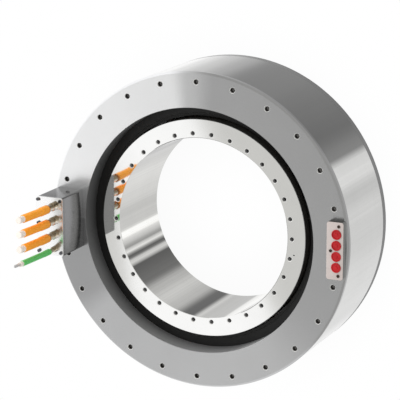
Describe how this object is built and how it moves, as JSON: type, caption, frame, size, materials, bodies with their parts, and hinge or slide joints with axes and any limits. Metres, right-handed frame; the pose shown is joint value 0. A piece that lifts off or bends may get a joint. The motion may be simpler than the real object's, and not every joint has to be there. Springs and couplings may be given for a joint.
{
  "type": "frameless motor",
  "caption": "Large frameless ring motor: cooled stator ring with bolt holes, magnet rotor ring inside, polished cable box with power leads and a plugged coolant port block.",
  "frame": {"origin": "centre of the stator's rear face, on the motor's axis", "axes": "+Z along the motor's axis to the face with the connections, +X to the coolant ports, -X to the power leads"},
  "size_m": [0.5019, 0.502, 0.355],
  "materials": {
    "flange_metal": "ground steel face, fine turning marks",
    "jacket_metal": "bright turned steel",
    "rear_metal": "dull grey turned steel",
    "laminations": "stacked electrical sheet, dull",
    "winding": "enamelled copper",
    "potting": "black cast resin, satin",
    "rotor_metal": "polished ground steel",
    "magnet": "nickel-plated magnet",
    "polished_metal": "mirror polish",
    "screw_metal": "dark steel screw",
    "port_metal": "matt blasted metal, faintly warm",
    "dark_screw": "blackened steel screw",
    "plug_plastic": "red moulded plastic",
    "gland_metal": "nickel-plated",
    "lead_orange": "satin orange sheath",
    "lead_green": "satin green sheath",
    "bare_copper": "tinned copper strands"
  },
  "bodies": {
    "stator": {"front_flange": "flange_metal", "cooling_jacket": "jacket_metal", "rear_ring": "rear_metal", "stator_core": "laminations", "coils_u": "winding", "coils_v": "winding", "coils_w": "winding", "front_potting": "potting", "cable_box": "polished_metal", "cable_plate": "polished_metal", "cable_plate_screws": "screw_metal", "port_block": "port_metal", "port_screws": "dark_screw", "coolant_plugs": "plug_plastic", "power_glands": "gland_metal", "earth_gland": "gland_metal", "power_lead_u": "lead_orange", "power_lead_v": "lead_orange", "power_lead_w": "lead_orange", "earth_lead": "lead_green", "earth_end": "bare_copper"},
    "rotor": {"rotor_carrier": "rotor_metal", "magnets_north": "magnet", "magnets_south": "magnet"}
  },
  "joints": [
    {"name": "rotor_spin", "type": "hinge", "parent": "stator", "child": "rotor", "pos_m": [0, 0, 0], "axis": [0, 0, 1], "continuous": true}
  ]
}
